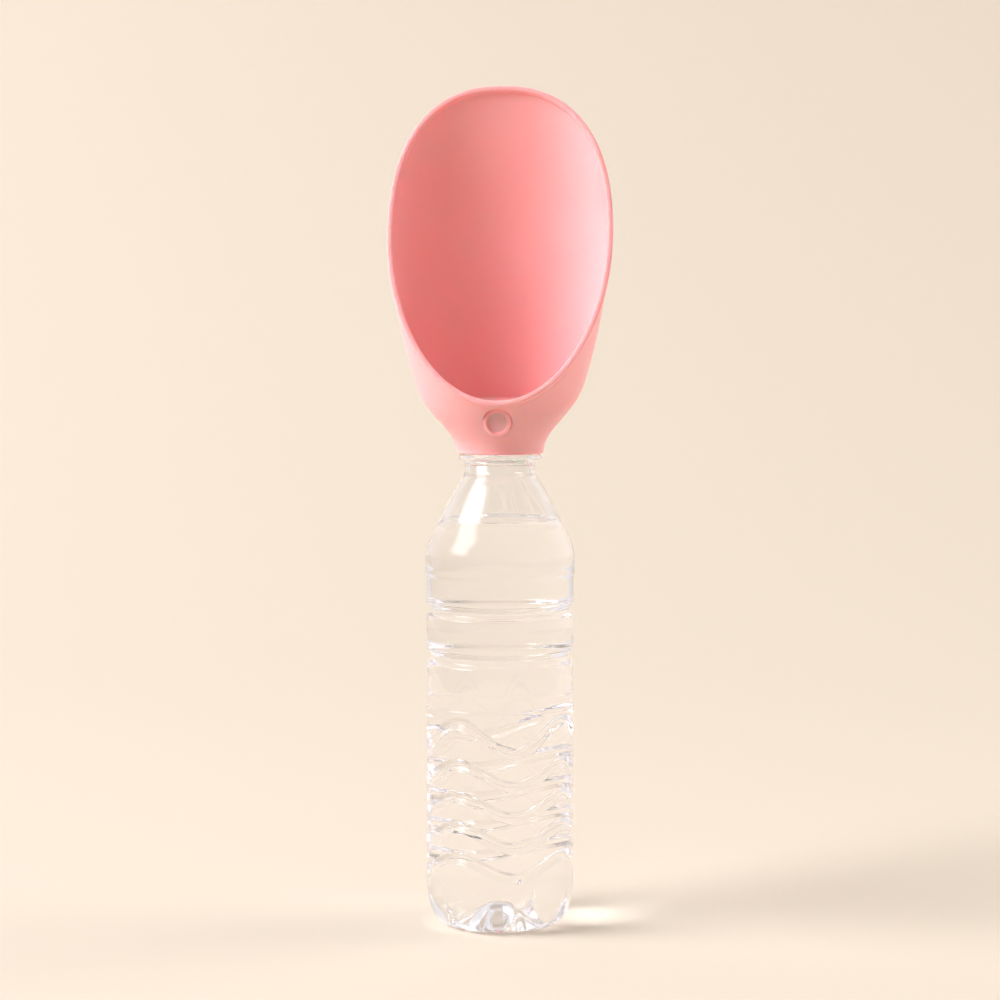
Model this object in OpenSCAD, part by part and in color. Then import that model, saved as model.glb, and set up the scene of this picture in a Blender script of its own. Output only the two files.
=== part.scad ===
// Travel water bottle for dogs: a clear bottle with a drinking bowl screwed on its neck.
// A push button in the chin of the bowl opens a valve, and water runs from the bottle to the bowl.
// Units are millimetres, +Z is up, the front (open side of the bowl, button) faces -Y.
// The origin lies on the bottle's axis at the level of the ground.

/* [Bottle] */
// Radius of the round body of the bottle
body_r = 31.5; // [28:0.1:36]
// Thickness of the bottle's wall
bottle_wall = 0.5; // [0.35:0.05:0.8]
// Height of the mouth of the bottle
mouth_z = 213.2; // [205:0.1:220]
// Bore radius of the mouth
mouth_bore_r = 12.5; // [10:0.1:13]
// Root radius of the neck thread
neck_r = 13.9; // [13:0.1:15]
// Height of the underside of the support ring on the neck
ring_z = 200; // [195:0.1:202]
// Radius of the support ring
ring_r = 17.75; // [16:0.05:19]
// Depth of the wavy grooves
groove_depth = 2; // [0.5:0.1:3]
// Half width of a wavy groove
groove_half = 1.9; // [1:0.1:3]
// Bearing that the low point of the waves has, to the right of the front
wave_turn = 13.8; // [0:0.1:90]
// Number of feet of the base
feet = 7; // [5:1:8]
// Bearing of the centre of one foot, to the right of the front
foot_turn = 37.6; // [0:0.1:51]
// Height of the push-up in the middle of the base
base_rise = 11; // [6:0.1:14]
// How narrow the valleys between the feet are
valley_power = 18; // [2:1:24]

/* [Bowl] */
// Outer radius of the collar that holds the neck
collar_r = 18.5; // [17.8:0.1:21]
// Height of the lower edge of the collar
collar_z = 202.6; // [202:0.1:205]
// Largest half width of the bowl
bowl_half = 47.7; // [40:0.1:55]
// Half width that the shoulder of the bowl adds over the collar
flare = 7.3; // [4:0.1:14]
// Length of the rim plane, from its hinge line to the top of the rim
rim_len = 170.6; // [160:0.1:180]
// Lean of the rim plane, from level
rim_tilt = 65.6; // [55:0.1:75]
// Wall thickness of the bowl
bowl_wall = 2.2; // [1.8:0.1:3.5]
// Height of the bowl's floor
floor_z = 225.5; // [224:0.1:227]
// Radius of the round cavity under the floor, which takes the core
cavity_r = 16.5; // [16:0.1:17]
// Height of the roof of that cavity
cavity_z = 224.25; // [223:0.05:225]

/* [Valve] */
// Upward tilt of the push button's axis
button_tilt = 5; // [0:0.5:15]
// Height at which the button's axis crosses the bottle's axis
valve_z = 219; // [218:0.1:221]
// Radius of the button
button_r = 6; // [5:0.1:8]
// Distance from the bottle's axis to the button's face
button_face = 26.8; // [24:0.1:30]
// Stroke of the button
stroke = 4; // [2:0.1:4.2]
// Radius of the valve rod
rod_r = 1.4; // [1:0.05:2]
// Radius of the valve chamber
chamber_r = 3.4; // [3:0.05:4]
// Radius of the round head that closes the valve
head_r = 3; // [2.5:0.05:3.3]
// Bore radius of the seat
seat_r = 2.1; // [1.8:0.05:2.5]
// Radius of the outlet port
port_r = 1.8; // [1:0.1:2.5]
// Radius of the inlet port
inlet_r = 3; // [2:0.1:3.3]

/* [Spring] */
// Thickness of the spring wire
wire_d = 0.5; // [0.3:0.05:0.8]
// Mean radius of the spring
coil_r = 3.2; // [2.8:0.05:3.6]
// Number of free curls
curls = 4.5; // [2:0.5:6]

/* [Fits] */
// Radial clearance of the core in the bowl
core_gap = 0.08; // [0.02:0.01:0.3]
// Radial clearance of the rod in its bores
rod_gap = 0.06; // [0.02:0.01:0.3]
// Radial clearance of the button in its well
button_gap = 0.2; // [0.1:0.05:0.5]
// Clearance where a sealing face rests on its seat
seat_gap = 0.02; // [0:0.01:0.1]

/* [Smoothness] */
// Number of columns round the bottle and the bowl
columns = 48; // [24:12:96]

/* [Hidden] */
$fn = 64;
gasket_t = 1.5;
plate_z = mouth_z + gasket_t;
skirt_r = 15.2;
core_r = cavity_r - core_gap;
core_top = cavity_z - 0.05;
well_floor = 19.8;
spring_seat = 15.9;
spring_top = button_face - 1.8;
seat_u = 1;
outlet_y = -2.6;
inlet_y = 6.6;
spring_pocket_r = coil_r + 0.6;
bush_r = 2.5;
strainer_r = 5.1;
seal_ring_r = 4.02;
rim_y = -33.2;
rim_z = 223.6;
hinge_z = 204;
hinge_y = rim_y - (rim_z - hinge_z) / tan(rim_tilt);
lip_s = (rim_z - hinge_z) / sin(rim_tilt);
front_0 = -collar_r - hinge_y;
back_0 = collar_r - hinge_y;
back_rise = 18;
back_swell = 50;

// ---- helpers -------------------------------------------------------------

function mix(a, b, t) = a + (b - a) * t;
function clamp01(t) = min(1, max(0, t));
function smooth(t) = let(q = clamp01(t)) q * q * (3 - 2 * q);
function spow(v, p) = v == 0 ? 0 : sign(v) * pow(abs(v), p);

// Faces of a grid of rings, with the two ends closed by fans of triangles
function grid_faces(rings, n) = concat(
    [for (i = [0:rings - 2], j = [0:n - 1]) let(a = i * n, k = (j + 1) % n) [a + j, a + k, a + n + j]],
    [for (i = [0:rings - 2], j = [0:n - 1]) let(a = i * n, k = (j + 1) % n) [a + k, a + n + k, a + n + j]],
    [for (j = [0:n - 1]) [rings * n, (j + 1) % n, j]],
    [for (j = [0:n - 1]) [rings * n + 1, (rings - 1) * n + j, (rings - 1) * n + (j + 1) % n]]
);

// Places children on the button's axis: +Y runs inward along it, from the bottle's axis
module on_button_axis() {
    translate([0, 0, valve_z])
        rotate([button_tilt, 0, 0])
            children();
}

// A round bar on the button's axis, from one distance to another (negative in front)
module bar(r, from, to) {
    translate([0, from, 0])
        rotate([-90, 0, 0])
            cylinder(r = r, h = to - from);
}

// A ring of round section on the button's axis
module o_ring(major, minor, at) {
    translate([0, at, 0])
        rotate([-90, 0, 0])
            rotate_extrude($fn = 32)
                translate([major, 0])
                    circle(r = minor, $fn = 12);
}

// ---- bottle --------------------------------------------------------------

// Outline of the upper bottle, outside, from the label panel up to the mouth
outer_top = [
    [31.2, 95.2], [31.2, 112.4], [30.6, 113.6], [29.7, 115.2], [30.6, 117.6],
    [31.5, 120], [31.5, 133], [30.7, 133.9], [29.75, 135.4], [30.7, 137.6], [31.5, 139.4],
    [31.5, 150.6], [31.9, 151.4], [31.9, 159], [31.5, 161.5], [30.3, 165.4], [28.5, 168.8],
    [26.8, 172.4], [24.9, 176.6], [22.6, 181.2], [20, 186], [17.6, 190], [15.8, 192.8],
    [15.05, 194.6], [15, 199], [15, ring_z], [ring_r, ring_z], [ring_r, ring_z + 2],
    [14.4, ring_z + 2.4], [neck_r, ring_z + 3], [neck_r, mouth_z]
];
// The same wall from the inside, running down again
inner_top = [
    [mouth_bore_r, mouth_z], [mouth_bore_r, 201], [13.2, 198.6], [13.6, 194.9], [14.9, 192.4],
    [16.9, 189.5], [19.4, 185.5], [22, 180.8], [24.3, 176.2], [26.2, 172], [27.9, 168.4],
    [29.7, 165.1], [30.9, 161.4], [31.3, 158.9],
    [31.3, 151.6], [30.9, 150.8], [30.9, 139.6], [30.1, 137.9], [29.15, 135.4], [30.1, 133.8],
    [30.9, 132.6], [30.9, 120.3], [30, 117.8], [29.1, 115.2], [30, 113.3], [30.65, 112.1], [30.65, 95.2]
];

// Mean heights and swings of the five wavy grooves
wave_mid = [84.4, 68.6, 55.2, 42.3, 29.3];
wave_amp = [5.95, 4.1, 3.9, 3.85, 3.8];
function wave_z(i, a) = wave_mid[i] - wave_amp[i] * cos(4 * (a - wave_turn));

// Rows of the wavy grip: across one groove, [offset, share of the depth]
groove_rows = [[-1, 0], [-0.45, 0.75], [0, 1], [0.45, 0.75], [1, 0]];

// Section of the base under a foot and in a valley between two feet, as [radius, height]
foot_line = [
    [31.5, 21.5], [31.45, 17], [31, 12.4], [30.3, 9.2], [29.4, 6.4], [28, 3.8], [26, 1.6],
    [23, 0.45], [19.8, 0], [16.4, 0], [13, 1.1], [10.3, 3.6], [8, 6.5], [5.7, 9.2], [3.2, 10.8]
];
dale_line = [
    [31.5, 21.5], [31.45, 17], [30.8, 12.8], [29.8, 10], [28.6, 7.8], [27.2, 5.9], [25, 4.8],
    [21.8, 4.3], [18.8, 4.2], [15.8, 4.3], [12.8, 4.8], [10.3, 5.6], [8, 7.1], [5.7, 9.4], [3.2, 10.8]
];

// How much of a foot there is at a bearing: 1 on its centre, 0 in the valley
function foot_share(a) = 1 - pow(0.5 - 0.5 * cos(feet * (a - foot_turn)), valley_power);

// Bearings of the columns: close together in each valley, wider over each foot
column_steps = [0, 0.045, 0.095, 0.17, 0.33, 0.5, 0.67, 0.83, 0.905, 0.955];
bearings = [
    for (k = [0:feet - 1], q = column_steps)
        foot_turn + (k - 0.5 + q) * 360 / feet
];

// All rings of the lower bottle from top to bottom as [radius, height] at bearing a
function low_line(a) = concat(
    [[31.06, 97], [31.06, 95.4], [body_r, 94.5]],
    [for (i = [0:4], g = groove_rows) [body_r - groove_depth * g[1], wave_z(i, a) - g[0] * groove_half]],
    [
        for (k = [0:len(foot_line) - 1])
            let(p = mix(dale_line[k], foot_line[k], foot_share(a)))
            [p[0], max(0, p[1] - 0.12)]
    ]
);

// The same line moved inward by the wall thickness
function inward(line, t) = [
    for (i = [0:len(line) - 1])
        let(p = line[max(0, i - 1)], q = line[min(len(line) - 1, i + 1)], d = q - p, l = norm(d))
        i == 0 ? [line[i][0] - t, line[i][1]]
        : line[i] + t * [d[1], -d[0]] / l
];

function ring_point(p, a) = [p[0] * sin(a), -p[0] * cos(a), p[1]];

module low_shell() {
    n = len(bearings);
    outer = [for (a = bearings) low_line(a)];
    inner = [for (line = outer) inward(line, bottle_wall)];
    m = len(outer[0]);
    points = concat(
        [for (i = [m - 1:-1:0], j = [0:n - 1]) ring_point(inner[j][i], bearings[j])],
        [for (i = [0:m - 1], j = [0:n - 1]) ring_point(outer[j][i], bearings[j])],
        [[0, 0, base_rise + bottle_wall], [0, 0, base_rise]]
    );
    polyhedron(points = points, faces = grid_faces(2 * m, n), convexity = 8);
}

module bottle() {
    color([0.86, 0.93, 0.95, 0.35]) {
        rotate_extrude($fn = 96)
            polygon(concat(outer_top, inner_top));
        low_shell();
    }
}

// ---- bowl ----------------------------------------------------------------

// Sections of the bowl turn about a level line in front of the collar; t runs from collar to rim
function front_s(t) = mix(front_0, lip_s, t * t) - 2.6 * sin(180 * t);
function back_s(t) = back_0 + back_rise * t + back_swell * t * t
    + (rim_len - back_rise - back_swell - back_0) * t * t * t;
function half_w(t) = collar_r + flare * smooth((t - 0.061) / 0.497)
    + (bowl_half - collar_r - flare) * pow(t, 1.184);
function wide_s(t) = mix(front_s(t), back_s(t), 0.5 + 0.033 * t - 0.046 * sin(180 * t));

// Point of a section: angle a from the front, moved inward by d and along the rim's normal by h
function bowl_point(t, a, d, h) =
    let(
        c = cos(a),
        n = mix(2, c > 0 ? 1.98 : 2.35, t),
        ws = wide_s(t),
        reach = c > 0 ? ws - front_s(t) - d : back_s(t) - ws - d,
        s = ws - reach * spow(c, 2 / n),
        x = (half_w(t) - d) * spow(sin(a), 2 / n),
        e = t * rim_tilt
    )
    [x, hinge_y + s * cos(e) - h * sin(e), hinge_z + s * sin(e) + h * cos(e)];

// Lifts a point of the inner side to the level of the floor
function on_floor(p, d) = d >= bowl_wall ? [p[0], p[1], max(p[2], floor_z)] : p;

row_t = [0, 0.05, 0.11, 0.17, 0.23, 0.29, 0.36, 0.43, 0.51, 0.6, 0.69, 0.78, 0.86, 0.93];
// The rounded rim as [inward, along the rim's normal]
rim_rows = [
    [0, -1.3], [-0.3, -0.8], [-0.4, 0.2], [-0.05, 1.1], [0.65, 1.5], [1.5, 1.5],
    [2.2, 1], [2.4, 0.1], [2.3, -0.7], [bowl_wall, -1.3]
];

// The rounded lower edge of the collar at a bearing a; w runs from its underside (0) to its side (90)
function collar_point(a, w) =
    let(e = hinge_z - collar_z, q = collar_r - e + e * sin(w))
    [q * sin(a), -q * cos(a), hinge_z - e * cos(w)];

module bowl_shell() {
    n = columns;
    low = [for (t = row_t) [for (j = [0:n - 1]) bowl_point(t, j * 360 / n, 0, 0)]];
    rim = [
        for (r = rim_rows)
            [for (j = [0:n - 1]) on_floor(bowl_point(1, j * 360 / n, r[0], r[1]), r[0])]
    ];
    inside = [
        for (i = [len(row_t) - 1:-1:0])
            [for (j = [0:n - 1]) on_floor(bowl_point(row_t[i], j * 360 / n, bowl_wall, 0), bowl_wall)]
    ];
    edge = [for (w = [0, 25, 55]) [for (j = [0:n - 1]) collar_point(j * 360 / n, w)]];
    rings = concat(edge, low, rim, inside);
    points = concat(
        [for (i = [len(rings) - 1:-1:0], p = rings[i]) p],
        [[0, 0, floor_z], [0, 0, collar_z]]
    );
    polyhedron(points = points, faces = grid_faces(len(rings), n), convexity = 8);
}

module bowl() {
    color([0.96, 0.65, 0.63])
        difference() {
            bowl_shell();
            translate([0, 0, collar_z - 1])
                cylinder(r = cavity_r, h = cavity_z - collar_z + 1);
            on_button_axis() {
                bar(button_r + button_gap, -36, -well_floor);
                bar(spring_pocket_r, -22, -10);
            }
            translate([0, outlet_y, cavity_z - 1])
                cylinder(r = port_r + 0.2, h = 5);
            translate([0, outlet_y, floor_z - 0.6])
                cylinder(r = strainer_r, h = 3);
        }
}

// ---- core and seals ------------------------------------------------------

module core() {
    color([0.93, 0.93, 0.92])
        difference() {
            rotate_extrude($fn = 96)
                polygon([
                    [0, plate_z], [skirt_r, plate_z], [skirt_r, collar_z + 1.6],
                    [skirt_r + 0.5, collar_z + 0.6], [core_r, collar_z + 0.6],
                    [core_r, core_top - 0.4], [core_r - 0.4, core_top], [0, core_top]
                ]);
            translate([0, outlet_y, core_top - 0.8])
                difference() {
                    cylinder(r = 4.5, h = 2);
                    translate([0, 0, -1])
                        cylinder(r = 3.55, h = 4);
                }
            on_button_axis() {
                bar(chamber_r, seat_u, 20);
                bar(seat_r, -4.7, seat_u + 1);
                bar(rod_r + rod_gap, -10, 0);
                bar(bush_r, -20, -8.9);
                bar(spring_pocket_r, -20, -spring_seat);
            }
            translate([0, outlet_y, valve_z])
                cylinder(r = port_r, h = 10);
            translate([0, inlet_y, plate_z - 1])
                cylinder(r = inlet_r, h = valve_z - plate_z + 1.4);
        }
}

module outlet_seal() {
    color([0.75, 0.78, 0.8])
        translate([0, outlet_y, core_top - 0.37])
            rotate_extrude($fn = 48)
                translate([seal_ring_r, 0])
                    circle(r = 0.41, $fn = 12);
}

module mouth_gasket() {
    color([0.82, 0.85, 0.87])
        translate([0, 0, mouth_z])
            difference() {
                cylinder(r = skirt_r - 0.1, h = gasket_t);
                translate([0, 0, -1])
                    cylinder(r = mouth_bore_r - 0.3, h = gasket_t + 2);
            }
}

module outlet_strainer() {
    color([0.93, 0.93, 0.92])
        translate([0, outlet_y, floor_z - 0.6])
            difference() {
                cylinder(r = strainer_r - 0.05, h = 0.55);
                for (i = [0:5])
                    rotate([0, 0, 60 * i])
                        translate([1.25, 0, -1])
                            cylinder(r = 0.45, h = 3, $fn = 16);
            }
}

module chamber_plug() {
    color([0.93, 0.93, 0.92])
        on_button_axis()
            difference() {
                bar(chamber_r - 0.03, 11.5, 14.9);
                difference() {
                    bar(chamber_r + 1, 12.6, 14);
                    bar(chamber_r - 1, 12, 15);
                }
                bar(1.6, 13.8, 16);
            }
}

module plug_seal() {
    color([0.75, 0.78, 0.8])
        on_button_axis()
            o_ring(chamber_r - 0.5, 0.48, 13.3);
}

module rod_seal() {
    color([0.75, 0.78, 0.8])
        on_button_axis()
            o_ring(rod_r + 0.53, 0.5, -9.45);
}

module gland_bush() {
    color([0.9, 0.9, 0.88])
        on_button_axis()
            difference() {
                bar(bush_r - 0.03, -spring_seat, -10);
                bar(rod_r + rod_gap, -20, -5);
            }
}

// ---- moving parts --------------------------------------------------------

module button() {
    color([0.95, 0.66, 0.62])
        on_button_axis()
            translate([0, -button_face, 0])
                rotate([-90, 0, 0])
                    rotate_extrude($fn = 64)
                        polygon([
                            [0, 1], [3.7, 1], [4.2, 0.85], [4.45, 0.35], [4.6, 0.05], [5, 0],
                            [button_r - 0.6, 0], [button_r - 0.15, 0.2], [button_r, 0.6],
                            [button_r, 2.9], [5, 2.9], [5, 1.8], [2.4, 1.8], [2.4, 4.6],
                            [rod_r - 0.1, 4.6], [rod_r - 0.1, 1.9], [0, 1.9]
                        ]);
}

module valve_rod() {
    color([0.88, 0.88, 0.86])
        on_button_axis() {
            bar(rod_r - 0.12, -button_face + 2, -button_face + 5);
            bar(rod_r, -button_face + 4.7, seat_u + 1.6);
            bar(head_r, seat_u + 1.4, seat_u + 3.4);
        }
}

module head_seal() {
    color([0.75, 0.78, 0.8])
        on_button_axis()
            difference() {
                bar(head_r, seat_u + seat_gap, seat_u + 1.4);
                bar(rod_r, 0, 5);
            }
}

// Turn of the wire along the spring, closed curls at both ends
function coil_step(q) = q < 0.14 ? q * 0.04 / 0.14
    : q > 0.86 ? 0.96 + (q - 0.86) * 0.04 / 0.14
    : 0.04 + (q - 0.14) * 0.92 / 0.72;
spring_len = spring_top - spring_seat;
module return_spring() {
    rings = round(8 * (curls + 1.4));
    total = 360 * (curls + 1.4);
    rise = spring_len - wire_d - 0.06;
    points = [
        for (k = [0:rings - 1])
            let(a = total * k / (rings - 1), y = wire_d / 2 + 0.03 + rise * coil_step(k / (rings - 1)))
            for (m = [0:5])
                let(b = 60 * m, r = coil_r + wire_d / 2 * cos(b), v = y + wire_d / 2 * sin(b))
                [r * cos(a), -spring_top + v, r * sin(a)]
    ];
    faces = concat(
        [[for (m = [5:-1:0]) m]],
        [
            for (k = [0:rings - 2], m = [0:5])
                let(a = 6 * k + m, b = 6 * k + (m + 1) % 6)
                [a, b, b + 6, a + 6]
        ],
        [[for (m = [0:5]) 6 * (rings - 1) + m]]
    );
    color([0.8, 0.8, 0.82])
        on_button_axis()
            polyhedron(points = points, faces = faces, convexity = 6);
}

bottle();
bowl();
core();
outlet_seal();
mouth_gasket();
outlet_strainer();
chamber_plug();
plug_seal();
rod_seal();
gland_bush();
button();
valve_rod();
head_seal();
return_spring();
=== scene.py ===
import math

import bmesh
import bpy
import numpy as np
from mathutils import Matrix, Vector


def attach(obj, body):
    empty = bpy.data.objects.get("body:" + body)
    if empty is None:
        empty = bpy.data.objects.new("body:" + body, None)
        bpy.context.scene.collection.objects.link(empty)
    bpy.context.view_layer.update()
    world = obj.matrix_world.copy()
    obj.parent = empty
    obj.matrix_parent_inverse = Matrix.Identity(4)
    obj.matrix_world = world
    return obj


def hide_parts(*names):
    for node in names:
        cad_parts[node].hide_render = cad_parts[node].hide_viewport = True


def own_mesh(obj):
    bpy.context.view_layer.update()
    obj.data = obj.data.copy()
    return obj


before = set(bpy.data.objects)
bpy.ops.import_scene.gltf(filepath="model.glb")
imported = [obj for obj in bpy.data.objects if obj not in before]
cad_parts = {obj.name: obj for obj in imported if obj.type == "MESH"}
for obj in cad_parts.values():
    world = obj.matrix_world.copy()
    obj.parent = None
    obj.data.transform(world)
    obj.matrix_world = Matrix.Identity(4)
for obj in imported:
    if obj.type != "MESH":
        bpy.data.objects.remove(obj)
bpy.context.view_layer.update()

# the object's lengths are in millimetres, and the studio's in metres
MM = 0.001
TURN = 2 * math.pi
# points that are closer than this, in metres, become one
WELD = 1e-8


# ---- small tools ----------------------------------------------------------

def linear(code):
    """An sRGB hex colour as linear RGBA."""
    parts = [int(code[i:i + 2], 16) / 255 for i in (0, 2, 4)]
    return [c / 12.92 if c <= 0.04045 else ((c + 0.055) / 1.055) ** 2.4 for c in parts] + [1.0]


def smooth(t):
    """Eases from 0 to 1."""
    t = min(1.0, max(0.0, t))
    return t * t * (3 - 2 * t)


def signed_power(v, p):
    """A power that keeps the sign of its base."""
    return np.sign(v) * np.abs(v) ** p


def rounded(points, steps=5):
    """An outline with rounded corners: each point is (x, y) or (x, y, length cut off at the corner)."""
    pts = [np.array(p[:2], float) for p in points]
    out = [pts[0]]
    for i in range(1, len(pts) - 1):
        cut = points[i][2] if len(points[i]) > 2 else 0.0
        before, corner, after = pts[i - 1], pts[i], pts[i + 1]
        if cut <= 0:
            out.append(corner)
            continue
        run_in, run_out = np.linalg.norm(before - corner), np.linalg.norm(after - corner)
        start = corner + (before - corner) / run_in * min(cut, run_in / 2)
        end = corner + (after - corner) / run_out * min(cut, run_out / 2)
        for t in np.linspace(0, 1, steps + 1):
            out.append((1 - t) ** 2 * start + 2 * t * (1 - t) * corner + t * t * end)
    out.append(pts[-1])
    keep = [out[0]]
    for p in out[1:]:
        if np.linalg.norm(p - keep[-1]) > 1e-4:
            keep.append(p)
    return np.array(keep)


def circle(radius, height, bearings):
    """A level ring of points; a bearing runs from the front (-Y) towards +X."""
    return np.stack([radius * np.sin(bearings), -radius * np.cos(bearings), height + 0 * bearings], axis=1)


def net(rows):
    """A bmesh with faces between rows of points."""
    bm = bmesh.new()
    bmesh.ops.create_grid(bm, x_segments=len(rows[0]) - 1, y_segments=len(rows) - 1, size=1)
    for vert, point in zip(bm.verts, (point for row in rows for point in row)):
        vert.co = point
    return bm


def new_object(name, bm, mat=None):
    """Makes a smooth object of a bmesh."""
    mesh = bpy.data.meshes.new(name)
    bm.to_mesh(mesh)
    bm.free()
    mesh.shade_smooth()
    if mat:
        mesh.materials.append(mat)
    ob = bpy.data.objects.new(name, mesh)
    bpy.context.scene.collection.objects.link(ob)
    return ob


def solid(name, rings, mat, body=None, place=Matrix(), sharp=None):
    """A closed smooth mesh through rings of points in millimetres, which rides on a CAD body."""
    first, last = (np.tile(ring.mean(axis=0), (len(ring), 1)) for ring in (rings[0], rings[-1]))
    rows = np.array([first, *rings, last]) * MM
    bm = net(np.concatenate([rows, rows[:, :1]], axis=1))
    # the weld closes the seam and draws the first and the last row into poles
    bmesh.ops.remove_doubles(bm, verts=bm.verts, dist=WELD)
    bmesh.ops.recalc_face_normals(bm, faces=bm.faces)
    # a coil can still come out inside out
    if bm.calc_volume(signed=True) < 0:
        bmesh.ops.reverse_faces(bm, faces=bm.faces)
    bmesh.ops.transform(bm, matrix=place, verts=bm.verts)
    ob = new_object(name, bm, mat)
    if sharp:
        ob.data.set_sharp_from_angle(angle=math.radians(sharp))
    if body:
        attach(ob, body)
    return ob


def second_slot(ob, mat, chosen):
    """Gives the chosen faces of a mesh a second material."""
    ob.data.materials.append(mat)
    for face in ob.data.polygons:
        if chosen(face):
            face.material_index = 1


# ---- materials ------------------------------------------------------------

# sockets of a Mix node that mixes colours
MIX_FACTOR, MIX_A, MIX_B, MIXED = 0, 6, 7, 2
# most values of a noise lie between these two
NOISE_RANGE = {"From Min": 0.3, "From Max": 0.7}


def node(tree, kind, settings=None, links=None):
    """Adds a shader node with its settings and its incoming links, each as (node, output)."""
    n = tree.nodes.new(kind)
    for key, value in (settings or {}).items():
        if isinstance(key, int) or key in n.inputs:
            n.inputs[key].default_value = value
        else:
            setattr(n, key, value)
    for key, (source, output) in (links or {}).items():
        tree.links.new(source.outputs[output], n.inputs[key])
    return n


def new_material(name):
    """A material with an empty node tree."""
    m = bpy.data.materials.new(name)
    m.use_nodes = True
    m.node_tree.nodes.clear()
    return m, m.node_tree


def scale(size):
    """The scale of a pattern whose spots are so many millimetres apart."""
    return 1 / (size * MM)


def satin_plastic(name, base, deep):
    """Moulded polypropylene: a fine spark-eroded grain, faint flow clouds, red light through thin walls."""
    m, t = new_material(name)
    place = node(t, "ShaderNodeTexCoord")
    cloud = node(t, "ShaderNodeTexNoise", {"Scale": scale(55.5), "Detail": 3}, {"Vector": (place, "Object")})
    depth = node(t, "ShaderNodeMapRange", {**NOISE_RANGE, "To Max": 0.6}, {"Value": (cloud, "Fac")})
    colours = {"data_type": "RGBA", MIX_A: linear(base), MIX_B: linear(deep)}
    tint = node(t, "ShaderNodeMix", colours, {MIX_FACTOR: (depth, "Result")})
    satin = {**NOISE_RANGE, "To Min": 0.47, "To Max": 0.54}
    rough = node(t, "ShaderNodeMapRange", satin, {"Value": (cloud, "Fac")})
    # the real grain is finer still, and is drawn as coarse as it needs to show
    grain = node(t, "ShaderNodeTexNoise", {"Scale": scale(0.385), "Detail": 2}, {"Vector": (place, "Object")})
    relief = node(t, "ShaderNodeBump", {"Strength": 0.05, "Distance": 0.03 * MM}, {"Height": (grain, "Fac")})
    shader = node(t, "ShaderNodeBsdfPrincipled", {
        "IOR": 1.49, "Subsurface Weight": 1.0, "Subsurface Scale": MM, "Subsurface Radius": (1.5, 0.11, 0.08),
    }, {"Base Color": (tint, MIXED), "Roughness": (rough, "Result"), "Normal": (relief, "Normal")})
    node(t, "ShaderNodeOutputMaterial", links={"Surface": (shader, "BSDF")})
    return m


def clear_pet(name, ior):
    """Blown PET: clear, with the slow waviness of a blown wall."""
    m, t = new_material(name)
    place = node(t, "ShaderNodeTexCoord")
    wave = node(t, "ShaderNodeTexNoise", {"Scale": scale(18.18), "Detail": 1}, {"Vector": (place, "Object")})
    relief = node(t, "ShaderNodeBump", {"Strength": 0.12, "Distance": 0.6 * MM}, {"Height": (wave, "Fac")})
    shader = node(t, "ShaderNodeBsdfPrincipled", {
        "Base Color": linear("FEFEFF"), "Roughness": 0.0, "IOR": ior, "Transmission Weight": 1.0,
    }, {"Normal": (relief, "Normal")})
    node(t, "ShaderNodeOutputMaterial", links={"Surface": (shader, "BSDF")})
    return m


def clear_water(name, ior):
    """Still drinking water, with the faintest ripple."""
    m, t = new_material(name)
    place = node(t, "ShaderNodeTexCoord")
    ripple = node(t, "ShaderNodeTexNoise", {"Scale": scale(25.0), "Detail": 1}, {"Vector": (place, "Object")})
    relief = node(t, "ShaderNodeBump", {"Strength": 0.05, "Distance": 0.4 * MM}, {"Height": (ripple, "Fac")})
    shader = node(t, "ShaderNodeBsdfPrincipled", {
        "Base Color": linear("FFFFFF"), "Roughness": 0.0, "IOR": ior, "Transmission Weight": 1.0,
    }, {"Normal": (relief, "Normal")})
    node(t, "ShaderNodeOutputMaterial", links={"Surface": (shader, "BSDF")})
    return m


def soft_rubber(name, code):
    """Translucent silicone with a dusty sheen."""
    m, t = new_material(name)
    place = node(t, "ShaderNodeTexCoord")
    dust = node(t, "ShaderNodeTexNoise", {"Scale": scale(3.3), "Detail": 3}, {"Vector": (place, "Object")})
    dull = {**NOISE_RANGE, "To Min": 0.45, "To Max": 0.65}
    rough = node(t, "ShaderNodeMapRange", dull, {"Value": (dust, "Fac")})
    shader = node(t, "ShaderNodeBsdfPrincipled", {
        "Base Color": linear(code), "IOR": 1.41, "Subsurface Weight": 0.5, "Subsurface Scale": MM,
        "Sheen Weight": 0.15,
    }, {"Roughness": (rough, "Result")})
    node(t, "ShaderNodeOutputMaterial", links={"Surface": (shader, "BSDF")})
    return m


def drawn_wire(name):
    """Drawn stainless wire: bright, with fine marks."""
    m, t = new_material(name)
    place = node(t, "ShaderNodeTexCoord")
    marks = node(t, "ShaderNodeTexNoise", {"Scale": scale(0.25), "Detail": 2}, {"Vector": (place, "Object")})
    bright = {**NOISE_RANGE, "To Min": 0.18, "To Max": 0.36}
    rough = node(t, "ShaderNodeMapRange", bright, {"Value": (marks, "Fac")})
    steel = {"Base Color": linear("C9C9CC"), "Metallic": 1.0}
    shader = node(t, "ShaderNodeBsdfPrincipled", steel, {"Roughness": (rough, "Result")})
    node(t, "ShaderNodeOutputMaterial", links={"Surface": (shader, "BSDF")})
    return m


def cream_paper(name):
    """Background paper with a fine tooth, drawn coarser than the real one."""
    m, t = new_material(name)
    place = node(t, "ShaderNodeTexCoord")
    tooth = node(t, "ShaderNodeTexNoise", {"Scale": scale(1.1), "Detail": 3}, {"Vector": (place, "Object")})
    relief = node(t, "ShaderNodeBump", {"Strength": 0.03, "Distance": 0.1 * MM}, {"Height": (tooth, "Fac")})
    shader = node(t, "ShaderNodeBsdfPrincipled", {
        "Base Color": linear("D0C4B4"), "Roughness": 0.85, "Specular IOR Level": 0.1,
    }, {"Normal": (relief, "Normal")})
    node(t, "ShaderNodeOutputMaterial", links={"Surface": (shader, "BSDF")})
    return m


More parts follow.
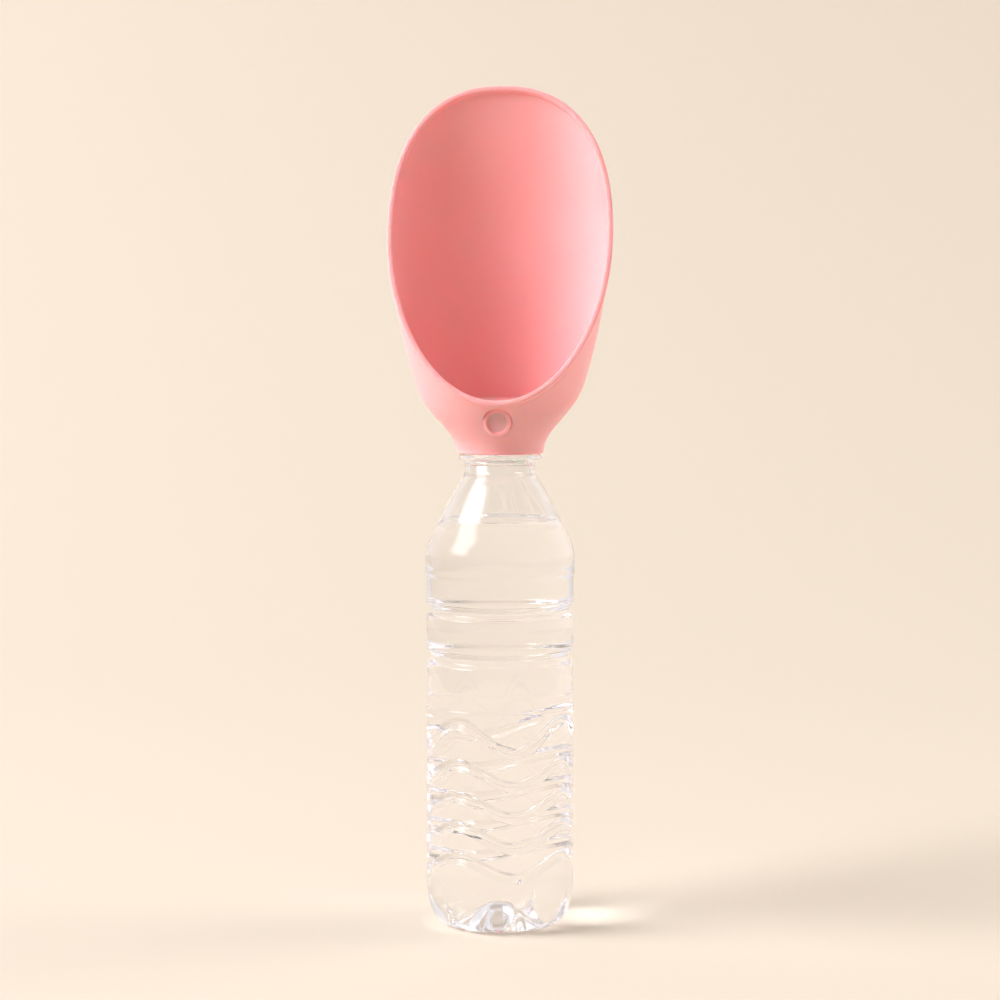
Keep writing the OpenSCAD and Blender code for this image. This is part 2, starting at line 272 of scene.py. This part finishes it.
PINK = satin_plastic("pink polypropylene", "F1B2B4", "EFA8A8")
WHITE = satin_plastic("white polypropylene", "ECEBE7", "E2E1DC")
SILICONE = soft_rubber("clear silicone", "D5DADD")
WIRE = drawn_wire("stainless wire")
PET_IOR, WATER_IOR = 1.57, 1.33
PET = clear_pet("clear blown PET", PET_IOR)
# where water lies against the wall, light bends once, by the ratio of the two: the wall's face does it
WETTED_PET = clear_pet("clear blown PET against water", PET_IOR / WATER_IOR)
WATER = clear_water("water", WATER_IOR)
WATER_AT_WALL = clear_water("water against the wall", 1.0)


# ---- bowl -----------------------------------------------------------------

COLLAR_R, COLLAR_Z, CAVITY_R, CAVITY_Z, FLOOR_Z = 18.5, 202.6, 16.5, 224.25, 225.5
BOWL_HALF, FLARE, BOWL_WALL = 47.65, 7.3, 2.2
RIM_TILT, RIM_LEN, RIM_Y, RIM_Z = 65.6, 170.5, -33.2, 223.6
# the sections turn about a level line in front of the collar, and their depths are measured from it
HINGE_Z = 204.0
HINGE_Y = RIM_Y - (RIM_Z - HINGE_Z) / math.tan(math.radians(RIM_TILT))
LIP_S = (RIM_Z - HINGE_Z) / math.sin(math.radians(RIM_TILT))
FRONT_0, BACK_0 = -COLLAR_R - HINGE_Y, COLLAR_R - HINGE_Y
CHIN_BELLY, BACK_RISE, BACK_SWELL = 2.6, 18, 50
# between which sections the flare grows, and how fast the rest of the width does
FLARE_START, FLARE_SPAN, WIDTH_POWER = 0.061, 0.497, 1.184
# where a section is widest, as a share of its depth: at the collar, more at the rim, less between
WIDEST, WIDEST_MORE, WIDEST_LESS = 0.5, 0.033, 0.046
# how square the rim is in front and behind, where 2 is an ellipse
FRONT_POWER, BACK_POWER = 1.98, 2.35
BOWL_COLUMNS, BOWL_ROWS, LAST_ROW = 224, 84, 0.93

# the rounded rim as (inward, along the rim's normal, corner)
RIM = [
    (0, -1.35), (-0.05, -1.2, 0.3), (-0.19, -0.7, 0.5), (-0.28, 0.4, 0.9), (0.05, 1.365, 0.8),
    (1.1, 1.44, 0.7), (1.95, 1.3, 0.7), (2.4, 0.3, 0.9), (2.3, -0.8, 0.5), (BOWL_WALL, -1.3),
]


def bowl_ring(t, angles, inward=0.0, up=0.0, floor=None):
    """A section of the bowl, t from collar (0) to rim (1), moved inward and along the section's normal."""
    belly = math.sin(math.pi * t)
    front = FRONT_0 + (LIP_S - FRONT_0) * t * t - CHIN_BELLY * belly
    back = BACK_0 + BACK_RISE * t + BACK_SWELL * t * t + (RIM_LEN - BACK_RISE - BACK_SWELL - BACK_0) * t ** 3
    shoulder = COLLAR_R + FLARE * smooth((t - FLARE_START) / FLARE_SPAN)
    half = shoulder + (BOWL_HALF - COLLAR_R - FLARE) * t ** WIDTH_POWER
    wide = front + (back - front) * (WIDEST + WIDEST_MORE * t - WIDEST_LESS * belly)
    c, s = np.cos(angles), np.sin(angles)
    power = 2 / (2 + (np.where(c > 0, FRONT_POWER, BACK_POWER) - 2) * t)
    along = wide - np.where(c > 0, wide - front - inward, back - wide - inward) * signed_power(c, power)
    x = (half - inward) * signed_power(s, power)
    e = math.radians(t * RIM_TILT)
    y = HINGE_Y + along * math.cos(e) - up * math.sin(e)
    z = HINGE_Z + along * math.sin(e) + up * math.cos(e)
    return np.stack([x, y, z if floor is None else np.maximum(z, floor)], axis=1)


def even_angles(count):
    """Angles that space the columns evenly round the rim and, less so, round the collar."""
    fine = np.linspace(0, TURN, 4001)
    rim_step, collar_step = (np.linalg.norm(np.diff(bowl_ring(t, fine), axis=0), axis=1) for t in (1.0, 0.1))
    length = np.concatenate([[0], np.cumsum(rim_step + 1.5 * collar_step)])
    return np.interp(np.arange(count) / count * length[-1], length, fine)


def bowl_rings():
    """Rings from the cavity round the collar, up the outside, over the rim and down to the floor."""
    angles = even_angles(BOWL_COLUMNS)
    edge = [(CAVITY_R, CAVITY_Z), (CAVITY_R, COLLAR_Z, 0.2), (COLLAR_R, COLLAR_Z, 1.5), (COLLAR_R, HINGE_Z)]
    rings = [circle(r, z, angles) for r, z in rounded(edge, 6)[:-1]]
    rings += [bowl_ring(t, angles) for t in np.linspace(0, LAST_ROW, BOWL_ROWS)]
    for inward, up in rounded(RIM, 4):
        on_inner_side = inward > BOWL_WALL - 0.02
        rings.append(bowl_ring(1.0, angles, inward, up, FLOOR_Z if on_inner_side else None))
    rings += [bowl_ring(t, angles, BOWL_WALL, 0.0, FLOOR_Z) for t in np.linspace(LAST_ROW, 0, BOWL_ROWS)]
    return rings


BUTTON_R, BUTTON_GAP, BUTTON_FACE, BUTTON_CUP, WELL_FLOOR = 6.0, 0.2, 26.8, 1.8, 19.8
SPRING_SEAT, SPRING_TOP = 15.9, BUTTON_FACE - BUTTON_CUP
COIL_R, WIRE_D, CURLS, CURL_GAP, POCKET_GAP = 3.2, 0.5, 5.9, 0.03, 0.6
VALVE_Z, BUTTON_TILT, OUTLET_Y, OUTLET_R, STRAINER_R, STRAINER_Z = 219.0, 5.0, -2.6, 2.0, 5.1, 224.9
# the button's axis: its +Y runs inward, and so does the bore's +Z
BUTTON_AXIS = Matrix.Translation((0, 0, VALVE_Z * MM)) @ Matrix.Rotation(math.radians(BUTTON_TILT), 4, "X")
BUTTON_BORE = BUTTON_AXIS @ Matrix.Rotation(math.radians(-90), 4, "X")
OUTLET_BORE = Matrix.Translation((0, OUTLET_Y * MM, 0))

# holes in the bowl as (name, axis, radius, start, end), each run on past the faces that it opens
HOLES = [
    ("well", BUTTON_BORE, BUTTON_R + BUTTON_GAP, -37, -WELL_FLOOR),
    ("spring pocket", BUTTON_BORE, COIL_R + POCKET_GAP, -21, -10),
    ("outlet", OUTLET_BORE, OUTLET_R, 223, 227),
    ("strainer seat", OUTLET_BORE, STRAINER_R, STRAINER_Z, 228),
]


def bar(name, axis, radius, start, end):
    """A round bar as a cutting tool, from one distance along an axis to another."""
    bm = bmesh.new()
    bmesh.ops.create_cone(bm, cap_ends=True, segments=96, radius1=radius * MM, radius2=radius * MM,
                          depth=(end - start) * MM)
    place = axis @ Matrix.Translation((0, 0, (start + end) / 2 * MM))
    bmesh.ops.transform(bm, matrix=place, verts=bm.verts)
    return new_object(name, bm)


def carve(ob, tools):
    """Cuts the tools out of a mesh and removes them."""
    for tool in tools:
        cut = ob.modifiers.new("cut", "BOOLEAN")
        cut.operation = "DIFFERENCE"
        cut.solver = "EXACT"
        cut.object = tool
    bpy.context.view_layer.update()
    carved = bpy.data.meshes.new_from_object(ob.evaluated_get(bpy.context.evaluated_depsgraph_get()))
    ob.modifiers.clear()
    ob.data = carved
    for tool in tools:
        bpy.data.objects.remove(tool)


bowl = solid("bowl_shell", bowl_rings(), PINK)
carve(bowl, [bar(*hole) for hole in HOLES])
bowl.data.shade_smooth()
bowl.data.set_sharp_from_angle(angle=math.radians(42))
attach(bowl, "bowl_body")
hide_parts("bowl")


# ---- button and spring ----------------------------------------------------

# half section of the button as (radius, depth behind its face, corner)
BUTTON = [
    (0.3, 1.4), (3.7, 1.35, 0.5), (4.3, 1.0, 0.4), (4.5, 0.0, 0.4), (5.6, 0.0, 0.4), (BUTTON_R, 0.25, 0.4),
    (BUTTON_R, 2.9, 0.1), (5.0, 2.9, 0.1), (5.0, BUTTON_CUP), (2.4, BUTTON_CUP), (2.4, 4.6), (1.32, 4.6),
    (1.32, 2.0), (0.3, 2.0),
]
FACE = BUTTON_BORE @ Matrix.Translation((0, 0, -BUTTON_FACE * MM))
around = np.arange(128) / 128 * TURN
button_rings = [circle(r, h, around) for r, h in rounded(BUTTON, 6)]
button = solid("push_button", button_rings, PINK, "plunger", FACE, 40)
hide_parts("button")


def spring_rings():
    """Rings of wire along the spring, whose end curls lie close."""
    start = -SPRING_TOP + WIRE_D / 2 + CURL_GAP
    length = SPRING_TOP - SPRING_SEAT - WIRE_D - 2 * CURL_GAP
    b = np.arange(12) / 12 * TURN
    r, rise = COIL_R + WIRE_D / 2 * np.cos(b), WIRE_D / 2 * np.sin(b)
    rings = []
    for q in np.linspace(0, 1, round(CURLS * 40)):
        y = start + length * np.interp(q, [0, 0.14, 0.86, 1], [0, 0.04, 0.96, 1])
        a = TURN * CURLS * q
        rings.append(np.stack([r * math.cos(a), y + rise, r * math.sin(a)], axis=1))
    return rings


spring = solid("coiled_spring", spring_rings(), WIRE, "bowl_body", BUTTON_AXIS)
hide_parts("return_spring")
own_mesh(spring)


# ---- bottle ---------------------------------------------------------------

BODY_R, PANEL_R, PET_WALL = 31.5, 31.2, 0.45
MOUTH_Z, MOUTH_BORE_R, NECK_R, RING_Z = 213.2, 12.5, 13.9, 200.0
LIP_RADII = (12.8, 13.5)
# the mean height and the swing of each wavy groove
WAVES = [(84.4, 5.95), (68.6, 4.1), (55.2, 3.9), (42.3, 3.85), (29.3, 3.8)]
WAVE_TURN, WAVE_COUNT, GROOVE_DEPTH, GROOVE_HALF = 13.8, 4, 1.6, 3.1
FEET, FOOT_TURN, VALLEY_POWER, CROWDING, FOOT_SINK = 7, 37.6, 18, 0.62, 0.05
BASE_RISE, BASE_EYE_R = 11.0, 3.2
WATER_Z, MENISCUS, MENISCUS_FADE, SKIN_GAP = 173.9, 0.7, 0.9, 0.02

# half section of the bottle above the grip as (radius, height, corner)
TOP = [
    (NECK_R, MOUTH_Z), (NECK_R, 203.0, 0.4), (14.4, 202.4, 0.4), (17.45, 202.1, 0.5), (17.75, 201.5, 0.4),
    (17.75, 200.2, 0.3), (17.3, RING_Z, 0.4), (15.2, RING_Z, 0.5), (15.0, 199.0, 1.0), (15.05, 194.8, 1.5),
    (15.9, 192.6, 3), (17.7, 190, 3), (20.1, 186, 4), (22.7, 181.2, 4), (25.0, 176.6, 4), (26.9, 172.4, 4),
    (28.6, 168.8, 4), (30.4, 165.4, 4), (31.6, 161.5, 3), (31.9, 158.8, 3), (31.9, 151.6, 0.8),
    (BODY_R, 150.6, 0.8), (BODY_R, 138.9, 0.8), (29.5, 137.3, 0.6), (29.5, 135.2, 0.6), (BODY_R, 133.5, 0.7),
    (BODY_R, 119.2, 0.8), (29.4, 117.4, 0.6), (29.4, 115.0, 0.6), (PANEL_R, 113.3, 0.7),
    (PANEL_R, 95.6, 0.5), (31.58, 94.6, 0.5), (BODY_R, 93.5),
]
# bore of the thick neck, which ends where the thin wall starts
BORE = [
    (MOUTH_BORE_R, MOUTH_Z), (MOUTH_BORE_R, 201.0, 3), (13.2, 198.6, 3), (13.9, 194.6, 3), (15.3, 192.2, 3),
]
THIN_WALL_Z = 191
# section across a wavy groove as (share of its half width, share of its depth, corner)
GROOVE = [(-1, 0), (-0.85, 0, 0.14), (-0.25, 1, 0.2), (0.25, 1, 0.2), (0.85, 0, 0.14), (1, 0)]
# half sections of the base under a foot and in a valley between two feet
FOOT = [
    (BODY_R, 21.5), (31.45, 17), (31, 12.4), (30.3, 9.2), (29.4, 6.4), (28, 3.8), (26, 1.6), (23, 0.45),
    (19.8, 0), (16.4, 0), (13, 1.1), (10.3, 3.6), (8, 6.5), (5.7, 9.2), (BASE_EYE_R, 10.8),
]
DALE = [
    (BODY_R, 21.5), (31.45, 17), (30.8, 12.8), (29.8, 10), (28.6, 7.8), (27.2, 5.9), (25, 4.8), (21.8, 4.3),
    (18.8, 4.2), (15.8, 4.3), (12.8, 4.8), (10.3, 5.6), (8, 7.1), (5.7, 9.4), (BASE_EYE_R, 10.8),
]


def bottle_bearings(per_foot=28):
    """Bearings of the columns, closer together in the valleys between the feet."""
    u = np.arange(FEET * per_foot) / per_foot
    u = u - CROWDING * np.sin(TURN * u) / TURN
    return math.radians(FOOT_TURN) + (u - 0.5) * TURN / FEET


def groove_rings(height, swing):
    """Rings across one wavy groove of the grip."""
    middle = height - swing * np.cos(WAVE_COUNT * (bearings - math.radians(WAVE_TURN)))
    section = rounded(GROOVE, 3)
    return [circle(BODY_R - GROOVE_DEPTH * share, middle - u * GROOVE_HALF, bearings) for u, share in section]


def foot_rings(count=44):
    """Rings from the grip down over the feet to the middle of the base."""
    share = 1 - (0.5 - 0.5 * np.cos(FEET * (bearings - math.radians(FOOT_TURN)))) ** VALLEY_POWER
    foot, dale = (rounded([(*p, 4.0) for p in line], 4) for line in (FOOT, DALE))
    rings = []
    for q in np.linspace(0, len(foot) - 1, count):
        (fr, fz), (dr, dz) = (
            [np.interp(q, np.arange(len(line)), line[:, k]) for k in (0, 1)] for line in (foot, dale)
        )
        # the feet sink a hair into the ground, and what is below it is cut off, so that they stand flat
        height = np.maximum(0, dz + (fz - dz) * share - FOOT_SINK)
        rings.append(circle(dr + (fr - dr) * share, height, bearings))
    rings += [circle(BASE_EYE_R * q, BASE_RISE - 0.25 * q * q, bearings) for q in (0.66, 0.33)]
    return rings


def between(first, second, count=2):
    """Rings that fill the land between two grooves."""
    return [first + (second - first) * k / (count + 1) for k in range(1, count + 1)]


def outside_rings():
    """Rings from the mouth down the outside of the bottle to the middle of its base."""
    rings = [circle(r, z, bearings) for r, z in rounded(TOP, 3)]
    for form in [groove_rings(*wave) for wave in WAVES] + [foot_rings()]:
        rings += between(rings[-1], form[0]) + form
    return rings


def moved_in(rings, distance):
    """The same surface moved along its normals."""
    p = np.array(rings)
    down = np.gradient(p, axis=0)
    side = np.roll(p, -1, axis=1) - np.roll(p, 1, axis=1)
    n = np.cross(side, down)
    n /= np.maximum(np.linalg.norm(n, axis=2, keepdims=True), 1e-9)
    # one ring of the upright wall tells whether the normals point out
    upright = 20
    outward = np.sign(np.sum(n[upright] * (p[upright] * [1, 1, 0]), axis=1).mean())
    return p - outward * distance * n


def inside_rings(outside):
    """Rings from the mouth down the bore and the inner face of the thin wall."""
    thin = next(i for i, ring in enumerate(outside) if ring[0][2] < THIN_WALL_Z)
    bore = [circle(r, z, bearings) for r, z in rounded(BORE, 4)[:-1]]
    return bore + list(moved_in(outside, PET_WALL)[thin:])


bearings = bottle_bearings()
outside = outside_rings()
inside = inside_rings(outside)
lip = [circle(r, MOUTH_Z, bearings) for r in LIP_RADII]
bottle = solid("blown_bottle", inside[::-1] + lip + outside, PET, "bottle_body")
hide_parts("bottle")
# a mesh's points are the first pole and then its rings
inner_points = 1 + len(inside) * len(bearings)
second_slot(
    bottle, WETTED_PET, lambda face: min(face.vertices) < inner_points and face.center.z < WATER_Z * MM,
)


# ---- water ----------------------------------------------------------------

def surface_rings(edge):
    """Rings of the water's surface from its middle to its edge, where it climbs the wall."""
    rings = []
    for s in (20, 12, 6, 3.6, 2.2, 1.3, 0.7, 0.3, 0):
        climb = MENISCUS * math.exp(-s / MENISCUS_FADE)
        rings.append(circle(edge - s - 0.5 * climb, WATER_Z + climb, bearings))
    return rings


skin = moved_in([ring for ring in inside if ring[:, 2].max() < WATER_Z], SKIN_GAP)
surface = surface_rings(np.linalg.norm(skin[0][:, :2], axis=1).mean())
water = solid("water_fill", surface + list(skin), WATER, "bottle_body")
first_wall_point = 1 + (len(surface) - 1) * len(bearings)
second_slot(water, WATER_AT_WALL, lambda face: min(face.vertices) >= first_wall_point)
# the wetted wall already bends the light for the water, so the water itself stays out of the shadow
water.visible_shadow = False
water.visible_diffuse = False


# ---- screw thread ---------------------------------------------------------

PITCH, THREAD_Z, TURNS, STEPS_A_TURN, FADE_STEPS = 3.0, 204.8, 2.0, 72, 8
RIDGE_FOOT, RIDGE_TOP = 0.85, 0.3


def thread(name, root, crest, height, mat, body):
    """A right-hand ridge with sloped flanks that fades in and out."""
    steps = round(TURNS * STEPS_A_TURN)
    rings = []
    for i in range(steps + 1):
        a = TURN * TURNS * i / steps
        z = height + PITCH * a / TURN
        top = root + (crest - root) * min(1, i / FADE_STEPS, (steps - i) / FADE_STEPS)
        ridge = [(root, -RIDGE_FOOT), (top, -RIDGE_TOP), (top, RIDGE_TOP), (root, RIDGE_FOOT)]
        rings.append(np.array([[r * math.cos(a), r * math.sin(a), z + h] for r, h in ridge]))
    return solid(name, rings, mat, body, sharp=30)


thread("neck_thread", 13.8, 15.0, THREAD_Z, PET, "bottle_body")
thread("core_thread", 15.3, 14.1, THREAD_Z + PITCH / 2, WHITE, "bowl_body")


# ---- CAD nodes that stay --------------------------------------------------

for mat, names in (
    (WHITE, ("core", "chamber_plug", "gland_bush", "valve_rod")),
    (PINK, ("outlet_strainer",)),
    (SILICONE, ("outlet_seal", "mouth_gasket", "plug_seal", "rod_seal", "head_seal")),
):
    for name in names:
        for material_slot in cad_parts[name].material_slots:
            material_slot.material = mat


# ---- studio, in metres ----------------------------------------------------

PAPER_HALF, PAPER = 1.3, [(-4.0, 0.0), (1.6, 0.0, 0.9), (6.0, 4.4)]
SHOULDER_Z = 0.2
# how bright the room is in front of the bottle and behind it, and between which directions that changes
ROOM_FRONT, ROOM_BACK, CHANGE_START, CHANGE_END = 0.37, 0.96, 0.05, 0.6
VIEW_BEARING, VIEW_DISTANCE, VIEW_Z, VIEW_PITCH = math.radians(2.3), 1.140, 0.266, 4.19
LENS, SENSOR = 96.48, 36.0
CLEAR_BOUNCES, DIFFUSE_BOUNCES = 256, 8


def backdrop():
    """A sheet of paper that runs back and slopes up."""
    rows = [[(-PAPER_HALF, y, z), (PAPER_HALF, y, z)] for y, z in rounded(PAPER, 24)]
    new_object("backdrop", net(rows), cream_paper("cream paper"))


def soft_edges(data):
    """Lets the bright face of a light fade towards its edges, as a soft box does."""
    data.use_nodes = True
    tree = data.node_tree
    geometry = node(tree, "ShaderNodeNewGeometry")
    place = node(tree, "ShaderNodeSeparateXYZ", links={"Vector": (geometry, "Parametric")})
    fade = {"interpolation_type": "SMOOTHSTEP", "From Max": 0.3, "To Min": 0.02, "To Max": 1.3}
    sides = []
    for axis in "XY":
        fold = node(tree, "ShaderNodeMath", {"operation": "PINGPONG", 1: 0.5}, {0: (place, axis)})
        sides.append(node(tree, "ShaderNodeMapRange", fade, {"Value": (fold, "Value")}))
    times = {"operation": "MULTIPLY"}
    both = node(tree, "ShaderNodeMath", times, {0: (sides[0], "Result"), 1: (sides[1], "Result")})
    tree.links.new(both.outputs["Value"], tree.nodes["Emission"].inputs["Strength"])


def soft_box(name, bearing, elevation, distance, size, radiance, colour, unseen=()):
    """A light that faces the bottle's shoulder, whose power follows from how bright its face is."""
    width, height = size
    data = bpy.data.lights.new(name, "AREA")
    data.shape = "RECTANGLE"
    data.size, data.size_y = width, height
    data.energy = radiance * math.pi * width * height
    data.color = linear(colour)[:3]
    soft_edges(data)
    ob = bpy.data.objects.new(name, data)
    bpy.context.scene.collection.objects.link(ob)
    b, e = math.radians(bearing), math.radians(elevation)
    away = Vector((math.sin(b) * math.cos(e), -math.cos(b) * math.cos(e), math.sin(e)))
    ob.location = Vector((0, 0, SHOULDER_Z)) + distance * away
    ob.rotation_euler = away.to_track_quat("Z", "Y").to_euler()
    for rays in unseen:
        setattr(ob, rays, False)


def room():
    """A warm, dim room in front of the bottle and a bright, slightly blue one behind it."""
    world = bpy.data.worlds.new("studio")
    world.use_nodes = True
    tree = world.node_tree
    way = node(tree, "ShaderNodeTexCoord")
    parts = node(tree, "ShaderNodeSeparateXYZ", links={"Vector": (way, "Generated")})
    change = {"From Min": CHANGE_START, "From Max": CHANGE_END}
    share = node(tree, "ShaderNodeMapRange", change, {"Value": (parts, "Y")})
    colours = {
        "data_type": "RGBA",
        MIX_A: [c * ROOM_FRONT for c in linear("FFF2E4")],
        MIX_B: [c * ROOM_BACK for c in linear("FAF7FA")],
    }
    mixed = node(tree, "ShaderNodeMix", colours, {MIX_FACTOR: (share, "Result")})
    tree.links.new(mixed.outputs[MIXED], tree.nodes["Background"].inputs["Color"])
    return world


def camera():
    """The photo's camera, a little to the right of the front and looking slightly down."""
    data = bpy.data.cameras.new("camera")
    data.lens = LENS
    data.sensor_width = SENSOR
    ob = bpy.data.objects.new("camera", data)
    ob.location = (VIEW_DISTANCE * math.sin(VIEW_BEARING), -VIEW_DISTANCE * math.cos(VIEW_BEARING), VIEW_Z)
    ob.rotation_euler = (math.radians(90 - VIEW_PITCH), 0, VIEW_BEARING)
    bpy.context.scene.collection.objects.link(ob)
    return ob


backdrop()
soft_box("key light", -72, 35, 5.5, (5.2, 6.0), 5.3, "F8FAFF", ("visible_glossy",))
# the mirror image on the clear plastic comes from a dimmer sheet in front of the key light
soft_box("diffuser", -67, 33, 5.2, (3.6, 4.8), 2.4, "F8F8FF")
soft_box("fill light", 105, 22, 5.0, (4.4, 4.4), 2.6, "FFFFFF", ("visible_glossy", "visible_transmission"))

scene = bpy.context.scene
scene.camera = camera()
scene.world = room()
scene.view_settings.view_transform = "Standard"
# light passes many times through the walls of the clear bottle
scene.cycles.max_bounces = CLEAR_BOUNCES
scene.cycles.transmission_bounces = CLEAR_BOUNCES
scene.cycles.glossy_bounces = CLEAR_BOUNCES
scene.cycles.diffuse_bounces = DIFFUSE_BOUNCES
scene.cycles.blur_glossy = 0.0
